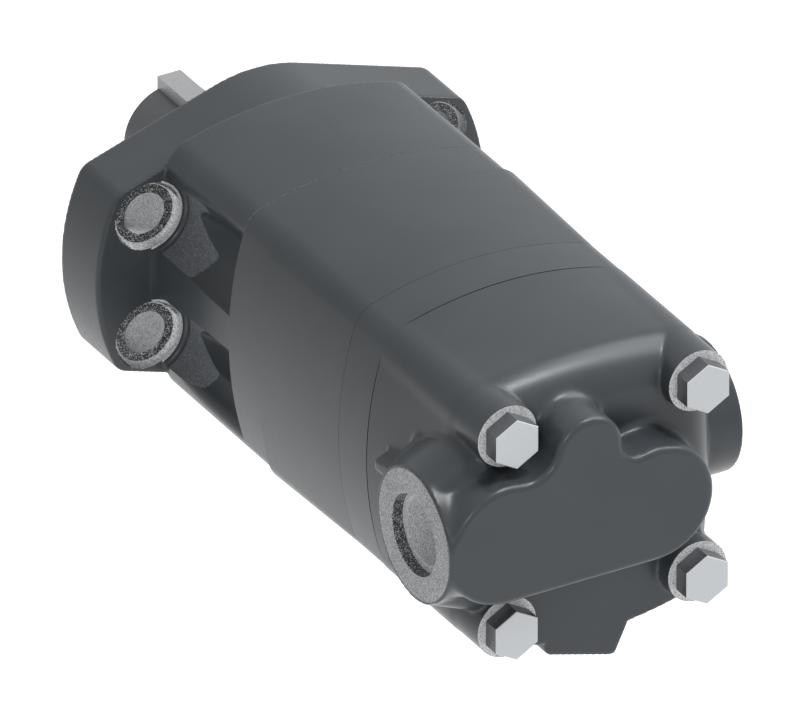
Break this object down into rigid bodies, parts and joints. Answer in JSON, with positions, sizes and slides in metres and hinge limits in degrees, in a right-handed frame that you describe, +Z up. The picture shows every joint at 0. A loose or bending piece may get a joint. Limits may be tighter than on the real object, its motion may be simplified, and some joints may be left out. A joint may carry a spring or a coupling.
{
  "type": "orbital hydraulic motor",
  "caption": "Disc-valve orbital hydraulic motor: flanged bearing housing, keyed output shaft, roller gear set and bolted end cover with two side ports.",
  "frame": {"origin": "centre of the mounting face, on the shaft's axis", "axes": "+Y along the shaft towards its free end, +Z up, away from the drain plug, +X to the right when seen from behind the end cover"},
  "size_m": [0.1332, 0.2682, 0.104],
  "materials": {
    "casting": "dark grey paint on cast iron, machined joint faces",
    "shaft_steel": "ground",
    "key_steel": "drawn bar",
    "bearing_steel": "ground and hardened",
    "bolt_steel": "zinc plated",
    "rubber": "moulded"
  },
  "bodies": {
    "housing": {"bearing_housing": "casting", "dust_seal": "rubber", "shaft_seal": "rubber", "backup_washer": "bearing_steel", "thrust_race_front": "bearing_steel", "front_bearing_cup": "bearing_steel", "rear_bearing_cup": "bearing_steel", "wear_plate": "casting", "roller_ring": "casting", "valve_plate": "casting", "balance_ring": "bearing_steel", "balance_pins": "bolt_steel", "inner_face_seal": "rubber", "outer_face_seal": "rubber", "balance_spring": "bolt_steel", "end_cover": "casting", "drain_plug": "bolt_steel", "drain_seal": "rubber", "body_seals": "rubber", "cover_bolts": "bolt_steel"},
    "shaft": {"output_shaft": "shaft_steel", "shaft_key": "key_steel", "thrust_race_rear": "bearing_steel"},
    "thrust_cage": {"thrust_rollers": "bearing_steel"},
    "front_cage": {"front_needles": "bearing_steel"},
    "rear_cage": {"rear_needles": "bearing_steel"},
    "orbit": {"drive_spacer": "bearing_steel"},
    "main_drive": {"main_drive": "shaft_steel"},
    "star": {"star": "shaft_steel"},
    "valve_drive": {"valve_drive": "shaft_steel"},
    "valve_disc": {"valve_disc": "bearing_steel"},
    "roller_1": {"roller_1": "bearing_steel"},
    "roller_2": {"roller_2": "bearing_steel"},
    "roller_3": {"roller_3": "bearing_steel"},
    "roller_4": {"roller_4": "bearing_steel"},
    "roller_5": {"roller_5": "bearing_steel"},
    "roller_6": {"roller_6": "bearing_steel"},
    "roller_7": {"roller_7": "bearing_steel"}
  },
  "joints": [
    {"name": "shaft_spin", "type": "hinge", "parent": "housing", "child": "shaft", "pos_m": [0, 0, 0], "axis": [0, 1, 0], "continuous": true},
    {"name": "thrust_cage_spin", "type": "hinge", "parent": "housing", "child": "thrust_cage", "pos_m": [0, -0.014, 0], "axis": [0, 1, 0], "continuous": true},
    {"name": "front_cage_spin", "type": "hinge", "parent": "housing", "child": "front_cage", "pos_m": [0, -0.028, 0], "axis": [0, 1, 0], "continuous": true},
    {"name": "rear_cage_spin", "type": "hinge", "parent": "housing", "child": "rear_cage", "pos_m": [0, -0.057, 0], "axis": [0, 1, 0], "continuous": true},
    {"name": "star_orbit", "type": "hinge", "parent": "housing", "child": "orbit", "pos_m": [0, -0.10845, 0], "axis": [0, 1, 0], "continuous": true},
    {"name": "main_drive_turn", "type": "hinge", "parent": "orbit", "child": "main_drive", "pos_m": [0, -0.0391, 0], "axis": [-0.0483, 0.9988, 0], "continuous": true},
    {"name": "star_turn", "type": "hinge", "parent": "orbit", "child": "star", "pos_m": [0.003, -0.10845, 0], "axis": [0, 1, 0], "continuous": true},
    {"name": "valve_drive_turn", "type": "hinge", "parent": "orbit", "child": "valve_drive", "pos_m": [0, -0.1561, 0], "axis": [0.0954, 0.9954, 0], "continuous": true},
    {"name": "valve_disc_spin", "type": "hinge", "parent": "housing", "child": "valve_disc", "pos_m": [0, -0.1545, 0], "axis": [0, 1, 0], "continuous": true},
    {"name": "roller_1_spin", "type": "hinge", "parent": "housing", "child": "roller_1", "pos_m": [0.031, -0.10845, 0], "axis": [0, 1, 0], "continuous": true},
    {"name": "roller_2_spin", "type": "hinge", "parent": "housing", "child": "roller_2", "pos_m": [0.01933, -0.10845, 0.02424], "axis": [0, 1, 0], "continuous": true},
    {"name": "roller_3_spin", "type": "hinge", "parent": "housing", "child": "roller_3", "pos_m": [-0.0069, -0.10845, 0.03022], "axis": [0, 1, 0], "continuous": true},
    {"name": "roller_4_spin", "type": "hinge", "parent": "housing", "child": "roller_4", "pos_m": [-0.02793, -0.10845, 0.01345], "axis": [0, 1, 0], "continuous": true},
    {"name": "roller_5_spin", "type": "hinge", "parent": "housing", "child": "roller_5", "pos_m": [-0.02793, -0.10845, -0.01345], "axis": [0, 1, 0], "continuous": true},
    {"name": "roller_6_spin", "type": "hinge", "parent": "housing", "child": "roller_6", "pos_m": [-0.0069, -0.10845, -0.03022], "axis": [0, 1, 0], "continuous": true},
    {"name": "roller_7_spin", "type": "hinge", "parent": "housing", "child": "roller_7", "pos_m": [0.01933, -0.10845, -0.02424], "axis": [0, 1, 0], "continuous": true}
  ],
  "couplings": [
    {"joint": "star_orbit", "follows": "shaft_spin", "ratio": -6},
    {"joint": "main_drive_turn", "follows": "shaft_spin", "ratio": 7},
    {"joint": "star_turn", "follows": "shaft_spin", "ratio": 7},
    {"joint": "valve_drive_turn", "follows": "shaft_spin", "ratio": 7},
    {"joint": "valve_disc_spin", "follows": "shaft_spin", "ratio": 1},
    {"joint": "thrust_cage_spin", "follows": "shaft_spin", "ratio": 0.5},
    {"joint": "front_cage_spin", "follows": "shaft_spin", "ratio": 0.4607},
    {"joint": "rear_cage_spin", "follows": "shaft_spin", "ratio": 0.4607}
  ]
}
